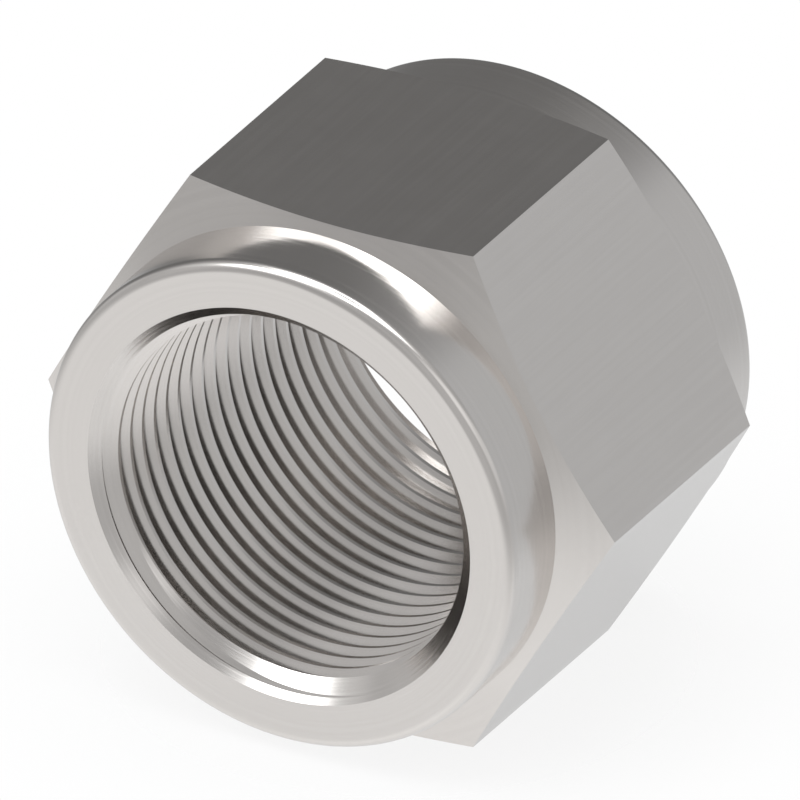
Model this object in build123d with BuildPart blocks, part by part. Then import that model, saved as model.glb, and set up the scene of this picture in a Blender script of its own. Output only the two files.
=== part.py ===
"""A tube nut: one hexagonal piece of bar, turned to a round collar at each end and threaded right through.

The thread's axis lies along Y, with the front mouth towards -Y. The nut lies on a flat of its hexagon,
as it would on a bench, so that flat faces -Z. The origin is on the axis, halfway between the end faces.
All lengths are in millimetres and all angles in degrees.
"""
from build123d import *
from math import cos, radians, tan
import os

# Driving dimensions of the outside
hex_across_flats = 25.40
overall_length = 21.59
collar_diameter = 24.26
collar_length = 3.81
hex_chamfer_angle = 20.0
collar_rim_radius = 0.51

# Driving dimensions of the threaded hole, which is bored here to the circle of the thread's crests
thread_crest_diameter = 17.83
mouth_diameter = 19.81
mouth_cone_angle = 90.0

# Sizes that follow from them
half_length = overall_length / 2
collar_radius = collar_diameter / 2
corner_radius = hex_across_flats / 2 / cos(radians(30))
shoulder_start = half_length - collar_length
shoulder_end = shoulder_start - (corner_radius - collar_radius) * tan(radians(hex_chamfer_angle))

with BuildPart() as tube_nut:
    # Hexagonal bar stock, with corners on the X axis so that flats face up and down
    with BuildSketch(Plane.XZ):
        RegularPolygon(radius=hex_across_flats / 2, side_count=6, major_radius=False)
    extrude(amount=half_length, both=True)

    # Turned outline: both collars, and the shallow cones behind them that cut the hexagon's corners
    # back and leave an arched edge on every flat
    with BuildSketch(Plane.XY):
        with BuildLine():
            Polyline(
                (0, -half_length),
                (collar_radius, -half_length),
                (collar_radius, -shoulder_start),
                (corner_radius, -shoulder_end),
                (corner_radius, shoulder_end),
                (collar_radius, shoulder_start),
                (collar_radius, half_length),
                (0, half_length),
                close=True,
            )
        make_face()
    revolve(axis=Axis.Y, mode=Mode.INTERSECT)

    # Rounded rim round each end face
    end_faces = tube_nut.faces().filter_by(Axis.Y)
    fillet(end_faces.edges(), radius=collar_rim_radius)

    # Hole for the thread, bored right through and opened to a cone at both mouths
    with Locations(Plane.XZ.offset(half_length), Plane.ZX.offset(half_length)):
        CounterSinkHole(
            radius=thread_crest_diameter / 2,
            counter_sink_radius=mouth_diameter / 2,
            counter_sink_angle=mouth_cone_angle,
        )

tube_nut.part.label = "tube_nut"

os.makedirs("parts", exist_ok=True)
export_step(tube_nut.part, "parts/tube_nut.step")
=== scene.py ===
import bpy
import math
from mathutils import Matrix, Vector


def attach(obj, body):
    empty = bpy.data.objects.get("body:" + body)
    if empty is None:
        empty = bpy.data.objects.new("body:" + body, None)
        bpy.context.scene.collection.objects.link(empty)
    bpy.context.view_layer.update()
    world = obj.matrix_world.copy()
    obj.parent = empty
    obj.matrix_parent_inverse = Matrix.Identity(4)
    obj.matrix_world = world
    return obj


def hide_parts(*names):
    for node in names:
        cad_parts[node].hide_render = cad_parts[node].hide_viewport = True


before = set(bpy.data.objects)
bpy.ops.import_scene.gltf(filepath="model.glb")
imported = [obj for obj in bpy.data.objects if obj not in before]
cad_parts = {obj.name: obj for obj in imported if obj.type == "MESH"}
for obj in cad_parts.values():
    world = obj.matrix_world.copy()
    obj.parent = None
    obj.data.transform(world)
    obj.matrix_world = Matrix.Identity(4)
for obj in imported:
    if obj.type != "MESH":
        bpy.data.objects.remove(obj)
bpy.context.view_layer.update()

# Lengths are in millimetres and angles in degrees, as in the part's source
MM = 0.001

HEX_ACROSS_FLATS = 25.40
OVERALL_LENGTH = 21.59
COLLAR_DIAMETER = 24.26
COLLAR_LENGTH = 3.81
HEX_CHAMFER_ANGLE = 20.0
COLLAR_RIM_RADIUS = 0.51
MOUTH_DIAMETER = 19.81

# The thread is right-handed, and its flanks stand at 60 degrees to each other
THREAD_PITCH = 1.0668
CREST_RADIUS = 8.915
ROOT_RADIUS = 9.66
THREAD_START = -2.623
FLANK_SLOPE = math.sqrt(3)

HALF_LENGTH = OVERALL_LENGTH / 2
COLLAR_RADIUS = COLLAR_DIAMETER / 2
MOUTH_RADIUS = MOUTH_DIAMETER / 2
APOTHEM = HEX_ACROSS_FLATS / 2
SHOULDER = HALF_LENGTH - COLLAR_LENGTH
HALF_GROOVE = (ROOT_RADIUS - CREST_RADIUS) / FLANK_SLOPE

# Distances from the middle at which the mouth cones meet the circles of the crests and of the roots
CONE_AT_CREST = HALF_LENGTH - (MOUTH_RADIUS - CREST_RADIUS)
CONE_AT_ROOT = HALF_LENGTH - (MOUTH_RADIUS - ROOT_RADIUS)

# Fineness of the mesh: columns round the axis and steps round each rim
COLUMNS = 360
RIM_STEPS = 10

# Turns of the thread that are looked at past each end, and the least length of a surface along the axis
SPARE_TURNS = 4
LEAST_LENGTH = 1e-9
# Points of one column that lie in the same or the next cell of the axis are one point
CELLS_PER_MM = 1e4

# Material slots of the mesh
TURNED, DRAWN, THREADED = 0, 1, 2


def radial(theta):
    """Unit vector square to the axis at an angle, from +X towards +Z."""
    a = math.radians(theta)
    return Vector((math.cos(a), 0, math.sin(a)))


def tangential(theta):
    """Unit vector square to the axis and to the radial one, the way that the angle grows."""
    return radial(theta + 90)


def column_angles():
    """Evenly spaced angles, with those at which an edge of the thread runs out into a mouth cone."""
    angles = {round(360 * i / COLUMNS, 6) for i in range(COLUMNS)}
    runs_out = ((0, CONE_AT_CREST), (HALF_GROOVE, CONE_AT_ROOT), (2 * HALF_GROOVE, CONE_AT_CREST))
    for side in (-1, 1):
        for offset, place in runs_out:
            turn = (THREAD_START + offset - side * place) / THREAD_PITCH
            angles.add(round(360 * (turn % 1), 6))
    return sorted(angles)


# The threaded wall with its mouth cones. At one angle it is a row of straight lines, and the points
# between them move straight along the axis as the angle grows.


def groove_start(turn, theta):
    return THREAD_START + THREAD_PITCH * (turn - theta / 360)


def wall_at(y, theta):
    """(radius, surface, turn) of the wall, which is the wider one of the thread and the mouth cone."""
    turn = math.floor((y - groove_start(0, theta)) / THREAD_PITCH)
    along = y - groove_start(turn, theta)
    if along < HALF_GROOVE:
        thread = (CREST_RADIUS + FLANK_SLOPE * along, "opening", turn)
    elif along < 2 * HALF_GROOVE:
        thread = (CREST_RADIUS + FLANK_SLOPE * (2 * HALF_GROOVE - along), "closing", turn)
    else:
        thread = (CREST_RADIUS, "crest", turn)
    cone = (MOUTH_RADIUS - HALF_LENGTH + abs(y), "mouth", 0)
    return max(thread, cone, key=lambda wall: wall[0])


def line_place(line, theta):
    """Where along the axis a line that may bound a surface of the wall lies at this angle."""
    kind, turn = line
    if kind == "end":
        return turn * HALF_LENGTH
    if kind == "mouth_crest":
        return turn * CONE_AT_CREST
    start = groove_start(turn, theta)
    stop = start + 2 * HALF_GROOVE
    gap = MOUTH_RADIUS - HALF_LENGTH - CREST_RADIUS
    places = {
        "start": start,
        "root": start + HALF_GROOVE,
        "stop": stop,
        "opening_front": (gap + FLANK_SLOPE * start) / (FLANK_SLOPE + 1),
        "opening_back": (gap + FLANK_SLOPE * start) / (FLANK_SLOPE - 1),
        "closing_front": (FLANK_SLOPE * stop - gap) / (FLANK_SLOPE - 1),
        "closing_back": (FLANK_SLOPE * stop - gap) / (FLANK_SLOPE + 1),
    }
    return places[kind]


def wall_lines(theta):
    """The lines that part the wall's surfaces at this angle, from front to back, and those surfaces."""
    lines = [("mouth_crest", -1), ("mouth_crest", 1)]
    kinds = ("start", "root", "stop", "opening_front", "opening_back", "closing_front", "closing_back")
    first = -math.ceil(HALF_LENGTH / THREAD_PITCH) - SPARE_TURNS
    last = -first + math.ceil(-THREAD_START / THREAD_PITCH)
    lines += [(kind, turn) for kind in kinds for turn in range(first, last)]
    placed = sorted((line_place(line, theta), line) for line in lines)
    placed = [p for p in placed if abs(p[0]) < HALF_LENGTH]
    placed = [(-HALF_LENGTH, ("end", -1))] + placed + [(HALF_LENGTH, ("end", 1))]
    kept, surfaces = [], []
    for (start, line), (stop, _) in zip(placed, placed[1:]):
        surface = wall_at((start + stop) / 2, theta)[1:]
        if stop - start > LEAST_LENGTH and (not surfaces or surface != surfaces[-1]):
            kept.append(line)
            surfaces.append(surface)
    return kept + [("end", 1)], [name for name, _ in surfaces]


# The outside, from the edge of the front mouth to the edge of the back one


def outside(theta):
    """(radius, place) of each point of the outside's section at this angle."""
    back = []
    rim = COLLAR_RIM_RADIUS
    for step in range(RIM_STEPS + 1):
        a = math.radians(90 * step / RIM_STEPS)
        back.append((COLLAR_RADIUS - rim + rim * math.sin(a), HALF_LENGTH - rim + rim * math.cos(a)))
    back.append((COLLAR_RADIUS, SHOULDER))
    bar = APOTHEM / math.cos(math.radians(theta % 60 - 30))
    drop = (bar - COLLAR_RADIUS) * math.tan(math.radians(HEX_CHAMFER_ANGLE))
    back.append((bar, SHOULDER - drop))
    return [(r, -y) for r, y in back] + back[::-1]


OUTSIDE_SURFACES = ["rim"] * RIM_STEPS + ["collar", "shoulder"]
OUTSIDE_SURFACES = ["face"] + OUTSIDE_SURFACES + ["flat"] + OUTSIDE_SURFACES[::-1] + ["face"]


def surface_normal(surface, flat, theta, point):
    """Unit normal of a surface at a point, pointing out of the metal."""
    side = math.copysign(1, point.y)
    along = Vector((0, side, 0))
    out = radial(theta)
    if surface == "flat":
        return radial(flat)
    if surface == "face":
        return along
    if surface == "collar":
        return out
    if surface == "rim":
        centre = out * (COLLAR_RADIUS - COLLAR_RIM_RADIUS) + along * (HALF_LENGTH - COLLAR_RIM_RADIUS)
        return (point - centre).normalized()
    if surface == "shoulder":
        a = math.radians(HEX_CHAMFER_ANGLE)
        return out * math.sin(a) + along * math.cos(a)
    if surface == "mouth":
        return (along - out).normalized()
    if surface == "crest":
        return -out
    slope = FLANK_SLOPE if surface == "opening" else -FLANK_SLOPE
    lead = THREAD_PITCH / math.tau / math.hypot(point.x, point.z)
    return (Vector((0, slope, 0)) + tangential(theta) * slope * lead - out).normalized()


SLOT_OF = {
    **dict.fromkeys(("face", "rim", "collar", "shoulder", "mouth"), TURNED),
    "flat": DRAWN,
    **dict.fromkeys(("crest", "opening", "closing"), THREADED),
}


def add_object(name, data):
    item = bpy.data.objects.new(name, data)
    bpy.context.scene.collection.objects.link(item)
    return item


def build_nut():
    """The whole nut as one closed mesh, with the exact normal of its surface at every face's corners."""
    angles = column_angles()
    points, faces, slots, normals = [], [], [], []
    wall_points = [{} for _ in angles]

    def add_point(column, radius, y):
        points.append(radial(angles[column]) * radius + Vector((0, y, 0)))
        return len(points) - 1

    def wall_cell(column, y):
        """The cell of the wall's point at y, which is made unless the column already has one there."""
        known = wall_points[column]
        cell = round(y * CELLS_PER_MM)
        for near in (cell, cell - 1, cell + 1):
            if near in known:
                return near
        known[cell] = add_point(column, wall_at(y, angles[column])[0], y)
        return cell

    def wall_side(column, front, back):
        """The column's points from one cell to another, also those that only the other strip needs."""
        known = wall_points[column]
        return [known[cell] for cell in sorted(known) if front <= cell <= back]

    def add_face(first, second, surface, flat, theta_first, theta_second):
        """A face between two columns, each given by its points from front to back."""
        corners = [(point, theta_first) for point in first]
        corners += [(point, theta_second) for point in reversed(second)]
        if len({point for point, _ in corners}) > 2:
            faces.append([point for point, _ in corners])
            slots.append(SLOT_OF[surface])
            for point, theta in corners:
                normals.append(surface_normal(surface, flat, theta, points[point]))

    strips = []
    for left, theta_left in enumerate(angles):
        right = (left + 1) % len(angles)
        theta_right = angles[right] if right else 360.0
        lines, surfaces = wall_lines((theta_left + theta_right) / 2)
        cells_left = [wall_cell(left, line_place(line, theta_left)) for line in lines]
        cells_right = [wall_cell(right, line_place(line, theta_right)) for line in lines]
        strips.append((left, right, theta_left, theta_right, cells_left, cells_right, surfaces))

    rings = []
    for column, theta in enumerate(angles):
        ring = [add_point(column, radius, y) for radius, y in outside(theta)]
        ends = sorted(wall_points[column])
        rings.append([wall_points[column][ends[0]]] + ring + [wall_points[column][ends[-1]]])

    # The two columns change places inside, so that every face looks out of the metal
    for left, right, theta_left, theta_right, cells_left, cells_right, surfaces in strips:
        flat = 60 * math.floor((theta_left + theta_right) / 2 / 60) + 30
        for step, surface in enumerate(OUTSIDE_SURFACES):
            near, far = rings[left][step:step + 2], rings[right][step:step + 2]
            add_face(near, far, surface, flat, theta_left, theta_right)
        for step, surface in enumerate(surfaces):
            near = wall_side(left, *cells_left[step:step + 2])
            far = wall_side(right, *cells_right[step:step + 2])
            add_face(far, near, surface, flat, theta_right, theta_left)

    mesh = bpy.data.meshes.new("tube_nut_threaded")
    mesh.from_pydata([p * MM for p in points], [], faces)
    mesh.polygons.foreach_set("material_index", slots)
    mesh.polygons.foreach_set("use_smooth", [True] * len(faces))
    mesh.normals_split_custom_set([tuple(n) for n in normals])
    return add_object("tube_nut_threaded", mesh)


nut = build_nut()
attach(nut, "root")
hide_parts("tube_nut")


# Node helpers


def new_node(tree, kind, **settings):
    node = tree.nodes.new(kind)
    for name, value in settings.items():
        setattr(node, name, value)
    return node


def connect(tree, value, socket):
    """Sets a socket to a number, a vector or a colour, or links it to an output."""
    if isinstance(value, (int, float)):
        socket.default_value = value
    elif isinstance(value, (tuple, Vector)):
        socket.default_value = tuple(value)
    else:
        tree.links.new(value, socket)


def calculate(tree, operation, a, b=0.0):
    node = new_node(tree, "ShaderNodeMath", operation=operation)
    connect(tree, a, node.inputs[0])
    connect(tree, b, node.inputs[1])
    return node.outputs[0]


def vector_calculate(tree, operation, a, b=None):
    """The result of a Vector Math node: a number for a length or a dot product, otherwise a vector."""
    node = new_node(tree, "ShaderNodeVectorMath", operation=operation)
    connect(tree, a, node.inputs[0])
    if b is not None:
        connect(tree, b, node.inputs[1])
    return node.outputs["Value" if operation in ("LENGTH", "DOT_PRODUCT") else "Vector"]


def parts_of(tree, vector):
    """The outputs X, Y and Z of a node that splits a vector."""
    node = new_node(tree, "ShaderNodeSeparateXYZ")
    connect(tree, vector, node.inputs[0])
    return node.outputs


def fade(tree, value, low, high, at_low, at_high):
    """at_low where value is up to low, at_high from high on, and a smooth change between them."""
    node = new_node(tree, "ShaderNodeMapRange", interpolation_type="SMOOTHSTEP")
    for socket, number in zip(node.inputs, (value, low, high, at_low, at_high)):
        connect(tree, number, socket)
    return node.outputs[0]


def blend_values(tree, factor, a, b):
    node = new_node(tree, "ShaderNodeMix", data_type="FLOAT")
    connect(tree, factor, node.inputs["Factor"])
    connect(tree, a, node.inputs["A"])
    connect(tree, b, node.inputs["B"])
    return node.outputs["Result"]


# A Mix node has sockets of the same names for each kind of data, so those for colours go by their places
COLOUR_A, COLOUR_B, COLOUR_RESULT = 6, 7, 2


def blend_colours(tree, factor, a, b):
    node = new_node(tree, "ShaderNodeMix", data_type="RGBA")
    connect(tree, factor, node.inputs["Factor"])
    connect(tree, a, node.inputs[COLOUR_A])
    connect(tree, b, node.inputs[COLOUR_B])
    return node.outputs[COLOUR_RESULT]


def blend_shaders(tree, factor, a, b):
    node = new_node(tree, "ShaderNodeMixShader")
    for socket, value in zip(node.inputs, (factor, a, b)):
        connect(tree, value, socket)
    return node.outputs[0]


def direction(azimuth, elevation):
    """Unit vector; azimuth 0 is +Y and 90 is +X."""
    a, e = math.radians(azimuth), math.radians(elevation)
    return Vector((math.sin(a) * math.cos(e), math.cos(a) * math.cos(e), math.sin(e)))


def sine(angle):
    return math.sin(math.radians(angle))


# The studio: pale walls and ground, and a ceiling of light. A level is a brightness, and an edge is the
# pair of values between which a part of the studio fades into what is round it.

# The walls are paler round one direction, by the cosine of the angle from it
WALL_LEVELS = (0.509, 0.561)
PALE_WALL = (20, 0)
PALE_WALL_EDGE = (-0.3, 0.2)

# The ground takes over from the walls between two elevations
GROUND_LEVEL = 0.73
GROUND_EDGE = (-38, -13)

# The ceiling is a flat square of light that fades from its middle outwards. Each of its two axes has an
# azimuth and the distance of its middle that way, in heights of the ceiling, and so has its edge.
CEILING_LEVEL = 7.018
CEILING_AXES = ((55, -0.046), (145, 0.03))
CEILING_EDGE = (0.0, 0.55)
# A way that goes down counts as one that is barely level, and so doesn't meet the ceiling
LEAST_RISE = 0.001

# A dim round spot right overhead, between two elevations, keeps a level surface from clipping to white
OVERHEAD_LEVEL = 0.526
OVERHEAD_EDGE = (76.5, 83)

# The studio has no colour, but it is very slightly cool round one direction at the back right, by the
# cosine of the angle from it, and in its lamps, which are whatever has one of the higher levels
NO_TINT = (1, 1, 1, 1)
COOL_SIDE = (30, -20)
COOL_EDGE = (0.25, 0.7)
COOL_TINT = (0.986, 1.0, 1.014, 1)
LAMP_LEVELS = (1.053, 2.632)
LAMP_TINT = (0.973, 1.0, 1.018, 1)

# The camera sees a white backdrop instead
BACKDROP_LEVEL = 1.0

# Each patch is an azimuth, an elevation, the angles from there at which it begins to fade and has faded,
# and its level. The last one is a lamp.
STUDIO_PATCHES = (
    (162, 5, 8, 30, 0.558),
    (168, 50, 0, 18, 0.45),
    (-163, 12, 0, 24, 0.44),
    (30, 52, 0, 24, 0.377),
    (-134, -72, 27, 68, 0.945),
    (-156, -62, 0, 22, 1.02),
    (-17, 20, 10, 48, 0.182),
    (-47, 18, 10, 50, 0.173),
    (-92, 5, 0, 16, 0.57),
    (-129, 13, 0, 14, 0.57),
    (101, 20, 0, 30, 0.75),
    (72, 38, 0, 24, 0.45),
    (104, -45, 0, 22, 0.84),
    (124, 32, 0, 22, 0.982),
    (-112, 33, 0, 17, 0.68),
    (-138, 43, 12, 25, 0.80),
    (-134, 48, 0, 20.5, 3.8),
)


def build_world():
    world = bpy.data.worlds.new("studio")
    bpy.context.scene.world = world
    world.use_nodes = True
    tree = world.node_tree
    tree.nodes.clear()
    towards = new_node(tree, "ShaderNodeTexCoord").outputs["Generated"]
    height = parts_of(tree, towards)["Z"]

    def facing(azimuth, elevation):
        """Cosine of the angle between the way a ray goes and a direction."""
        return vector_calculate(tree, "DOT_PRODUCT", towards, direction(azimuth, elevation))

    level = fade(tree, facing(*PALE_WALL), *PALE_WALL_EDGE, *WALL_LEVELS)
    ground = fade(tree, height, sine(GROUND_EDGE[0]), sine(GROUND_EDGE[1]), 1.0, 0.0)
    level = blend_values(tree, ground, level, GROUND_LEVEL)
    for azimuth, elevation, inner, outer, brightness in STUDIO_PATCHES:
        within = fade(tree, facing(azimuth, elevation), sine(90 - outer), sine(90 - inner), 0.0, 1.0)
        level = blend_values(tree, within, level, brightness)
    rise = calculate(tree, "MAXIMUM", height, LEAST_RISE)
    spread = []
    for azimuth, middle in CEILING_AXES:
        across = calculate(tree, "DIVIDE", facing(azimuth, 0), rise)
        across = calculate(tree, "SUBTRACT", across, middle)
        spread.append(calculate(tree, "ABSOLUTE", across))
    spread = calculate(tree, "MAXIMUM", *spread)
    ceiling = fade(tree, spread, *CEILING_EDGE, 1.0, 0.0)
    level = blend_values(tree, ceiling, level, CEILING_LEVEL)
    overhead = fade(tree, height, sine(OVERHEAD_EDGE[0]), sine(OVERHEAD_EDGE[1]), 0.0, 1.0)
    level = blend_values(tree, overhead, level, OVERHEAD_LEVEL)

    cool = fade(tree, facing(*COOL_SIDE), *COOL_EDGE, 0.0, 1.0)
    tint = blend_colours(tree, cool, NO_TINT, COOL_TINT)
    lamp = fade(tree, level, *LAMP_LEVELS, 0.0, 1.0)
    tint = blend_colours(tree, lamp, tint, LAMP_TINT)

    seen = new_node(tree, "ShaderNodeLightPath").outputs["Is Camera Ray"]
    background = new_node(tree, "ShaderNodeBackground")
    connect(tree, blend_colours(tree, seen, tint, NO_TINT), background.inputs["Color"])
    connect(tree, blend_values(tree, seen, level, BACKDROP_LEVEL), background.inputs["Strength"])
    output = new_node(tree, "ShaderNodeOutputWorld")
    connect(tree, background.outputs[0], output.inputs["Surface"])


build_world()


# The floor, a disc a hair's breadth below the nut. For the camera it is nearly white and keeps a soft
# shadow, in the nut's reflections it is nearly clear, and it fades into the backdrop round it.
FLOOR_RADIUS = 120
FLOOR_CORNERS = 96
FLOOR_GAP = 0.02
FLOOR_FADES = (8, 36)
FLOOR_COLOUR = (0.9, 0.9, 0.9, 1)
FLOOR_WHITE_SHARE = 0.83
FLOOR_CLEAR_SHARE = 0.85


def build_floor():
    mesh = bpy.data.meshes.new("floor")
    points = [radial(360 * i / FLOOR_CORNERS) * FLOOR_RADIUS for i in range(FLOOR_CORNERS)]
    level = -(APOTHEM + FLOOR_GAP)
    corners = [(p.x * MM, p.z * MM, level * MM) for p in points]
    mesh.from_pydata(corners, [], [list(range(FLOOR_CORNERS))])
    floor = add_object("floor", mesh)

    material = bpy.data.materials.new("floor")
    material.use_nodes = True
    tree = material.node_tree
    tree.nodes.clear()
    path = new_node(tree, "ShaderNodeLightPath").outputs
    diffuse = new_node(tree, "ShaderNodeBsdfDiffuse")
    diffuse.inputs["Color"].default_value = FLOOR_COLOUR
    white = new_node(tree, "ShaderNodeEmission")
    lift = calculate(tree, "MULTIPLY", path["Is Camera Ray"], FLOOR_WHITE_SHARE)
    surface = blend_shaders(tree, lift, diffuse.outputs[0], white.outputs[0])

    place = new_node(tree, "ShaderNodeNewGeometry").outputs["Position"]
    near, far = FLOOR_FADES
    faded = fade(tree, vector_calculate(tree, "LENGTH", place), near * MM, far * MM, 0.0, 1.0)
    mirrored = calculate(tree, "MAXIMUM", path["Is Glossy Ray"], path["Is Transmission Ray"])
    cleared = calculate(tree, "MAXIMUM", faded, calculate(tree, "MULTIPLY", mirrored, FLOOR_CLEAR_SHARE))
    clear = new_node(tree, "ShaderNodeBsdfTransparent")
    output = new_node(tree, "ShaderNodeOutputMaterial")
    connect(tree, blend_shaders(tree, cleared, surface, clear.outputs[0]), output.inputs["Surface"])
    mesh.materials.append(material)


build_floor()


# The nut's steel. Every surface has the fine marks of the way it was made, which show in its relief, its
# sheen and, barely, its colour, over a faint cloudiness from handling.
STEEL_DARK = (0.707, 0.678, 0.654, 1)
STEEL_LIGHT = (0.748, 0.719, 0.695, 1)
CORNER_RADIUS = APOTHEM / math.cos(math.radians(30))
WORN_WIDTH = 0.5

# Scale per millimetre and detail of each noise, and the part of a noise's range that is used
TURNING_NOISE = (4.5, 4.0)
DRAWING_NOISE = (5.0, 5.0)
THREADING_NOISE = (9.0, 4.0)
CLOUD_NOISE = (0.6, 5.0)
NOISE_RANGE = (0.25, 0.75)

# The scale of the drawing marks along each axis, which makes them long ones along the bar
DRAWING_SCALES = (1, 0.02, 1)

# What the fine marks, the cloudiness and the worn corners change in the roughness
FINE_SWING = 0.02
CLOUD_SWING = 0.012
WORN_DROP = 0.03

# The steel's tone between dark and light: where it starts, and what the same three add to it
TONE_START = 0.175
TONE_FINE = 0.45
TONE_CLOUD = 0.2
TONE_WORN = 0.25


def noise(tree, place, scale, detail, dimensions="3D"):
    node = new_node(tree, "ShaderNodeTexNoise", noise_dimensions=dimensions)
    connect(tree, place, node.inputs["W" if dimensions == "1D" else "Vector"])
    connect(tree, scale, node.inputs["Scale"])
    connect(tree, detail, node.inputs["Detail"])
    return fade(tree, node.outputs[0], *NOISE_RANGE, 0.0, 1.0)


def turning_marks(tree, place, along, radius):
    """Rings round the axis, which a turning tool leaves on faces, cones and collars alike."""
    section = calculate(tree, "ADD", radius, calculate(tree, "ABSOLUTE", along))
    return noise(tree, section, *TURNING_NOISE, dimensions="1D")


def drawing_marks(tree, place, along, radius):
    """Faint scratches along the bar, from the die that it was drawn through."""
    return noise(tree, vector_calculate(tree, "MULTIPLY", place, DRAWING_SCALES), *DRAWING_NOISE)


def threading_marks(tree, place, along, radius):
    """Marks that run round with the thread, so their place in its profile is the same on every turn."""
    parts = parts_of(tree, place)
    turn = calculate(tree, "ARCTAN2", parts["Z"], parts["X"])
    phase = calculate(tree, "ADD", calculate(tree, "MULTIPLY", along, math.tau / THREAD_PITCH), turn)
    profile = new_node(tree, "ShaderNodeCombineXYZ")
    connect(tree, radius, profile.inputs["X"])
    for wave, axis in (("COSINE", "Y"), ("SINE", "Z")):
        swing = calculate(tree, "MULTIPLY", calculate(tree, wave, phase), THREAD_PITCH / math.tau)
        connect(tree, swing, profile.inputs[axis])
    return noise(tree, profile.outputs[0], *THREADING_NOISE)


def steel(name, marks, depth, roughness):
    """Bright steel with marks of one kind, whose depth is in millimetres."""
    material = bpy.data.materials.new(name)
    material.use_nodes = True
    tree = material.node_tree
    shader = tree.nodes["Principled BSDF"]
    shader.inputs["Metallic"].default_value = 1.0

    place = new_node(tree, "ShaderNodeTexCoord").outputs["Object"]
    place = vector_calculate(tree, "MULTIPLY", place, (1 / MM, 1 / MM, 1 / MM))
    radius = vector_calculate(tree, "LENGTH", vector_calculate(tree, "MULTIPLY", place, (1, 0, 1)))

    fine = marks(tree, place, parts_of(tree, place)["Y"], radius)
    cloud = noise(tree, place, *CLOUD_NOISE)
    # Handling has polished the corners of the hexagon a little
    worn = fade(tree, radius, CORNER_RADIUS - WORN_WIDTH, CORNER_RADIUS, 0.0, 1.0)

    bump = new_node(tree, "ShaderNodeBump")
    bump.inputs["Strength"].default_value = 1.0
    bump.inputs["Distance"].default_value = depth * MM
    connect(tree, fine, bump.inputs["Height"])
    connect(tree, bump.outputs[0], shader.inputs["Normal"])

    rough = blend_values(tree, fine, roughness - FINE_SWING, roughness + FINE_SWING)
    for value, low, high in ((cloud, -CLOUD_SWING, CLOUD_SWING), (worn, 0.0, -WORN_DROP)):
        rough = calculate(tree, "ADD", rough, blend_values(tree, value, low, high))
    connect(tree, rough, shader.inputs["Roughness"])

    tone = calculate(tree, "MULTIPLY", fine, TONE_FINE)
    for value, weight in ((cloud, TONE_CLOUD), (worn, TONE_WORN)):
        tone = calculate(tree, "ADD", tone, calculate(tree, "MULTIPLY", value, weight))
    tone = calculate(tree, "ADD", tone, TONE_START)
    connect(tree, blend_colours(tree, tone, STEEL_DARK, STEEL_LIGHT), shader.inputs["Base Color"])
    return material


# One finish for each material slot of the mesh, in the order of the slots: its name, its marks, their
# depth and its roughness
FINISHES = (
    ("steel_turned", turning_marks, 0.0011, 0.18),
    ("steel_drawn", drawing_marks, 0.0007, 0.19),
    ("steel_threaded", threading_marks, 0.0005, 0.18),
)
for finish in FINISHES:
    nut.data.materials.append(steel(*finish))


# The camera looks down at 30 degrees from 30 degrees right of the front, without perspective
VIEW_AZIMUTH, VIEW_ELEVATION = 30, 30
FRAME_WIDTH = 35.869
FRAME_CENTRE = (0.038, 0.108)
CAMERA_DISTANCE = 100
CAMERA_NEAREST = 1


def build_camera():
    data = bpy.data.cameras.new("camera")
    data.type = "ORTHO"
    data.ortho_scale = FRAME_WIDTH * MM
    data.clip_start = CAMERA_NEAREST * MM
    camera = add_object("camera", data)
    bpy.context.scene.camera = camera
    back = direction(180 - VIEW_AZIMUTH, VIEW_ELEVATION)
    right = direction(90 - VIEW_AZIMUTH, 0)
    up = back.cross(right)
    place = back * CAMERA_DISTANCE + right * FRAME_CENTRE[0] + up * FRAME_CENTRE[1]
    camera.location = place * MM
    camera.rotation_mode = "QUATERNION"
    camera.rotation_quaternion = (-back).to_track_quat("-Z", "Y")


build_camera()
bpy.context.scene.view_settings.view_transform = "Standard"
